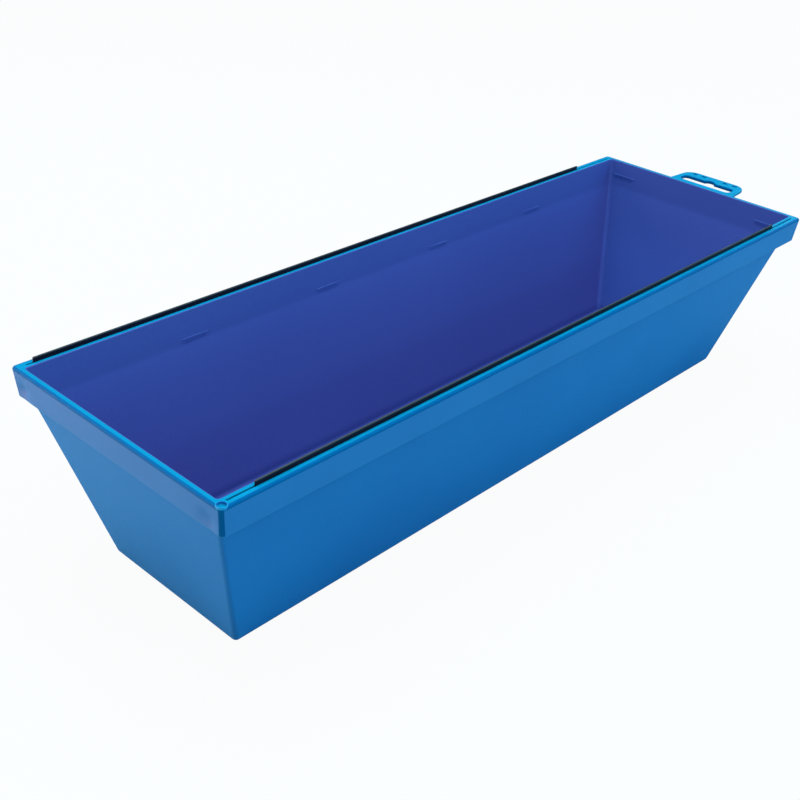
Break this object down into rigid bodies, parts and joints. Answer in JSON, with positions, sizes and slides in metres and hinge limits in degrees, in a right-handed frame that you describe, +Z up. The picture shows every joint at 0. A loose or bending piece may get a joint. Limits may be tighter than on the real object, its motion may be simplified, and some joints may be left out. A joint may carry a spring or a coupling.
{
  "type": "mud pan",
  "caption": "Long moulded plastic trough with sloping walls, steel scraping blades standing in slots along its rims and a flat hanging loop, for jointing compound.",
  "frame": {"origin": "centre of the base's underside, where the pan rests", "axes": "+X along the pan towards the hanging loop, +Y across it, +Z up out of its mouth"},
  "size_m": [0.3662, 0.1112, 0.0789],
  "materials": {
    "blue_plastic": "moulded polypropylene, finely grained outside and smooth inside",
    "blade_steel": "blackened spring steel, satin"
  },
  "bodies": {
    "pan": {"tub": "blue_plastic"},
    "near_strip": {"near_blade": "blade_steel"},
    "far_strip": {"far_blade": "blade_steel"}
  },
  "joints": [
    {"name": "near_blade_slide", "type": "slide", "parent": "pan", "child": "near_strip", "axis": [1, 0, 0], "range_m": [-0.0105, 0.019]},
    {"name": "far_blade_slide", "type": "slide", "parent": "pan", "child": "far_strip", "axis": [1, 0, 0], "range_m": [-0.0025, 0.027]}
  ]
}
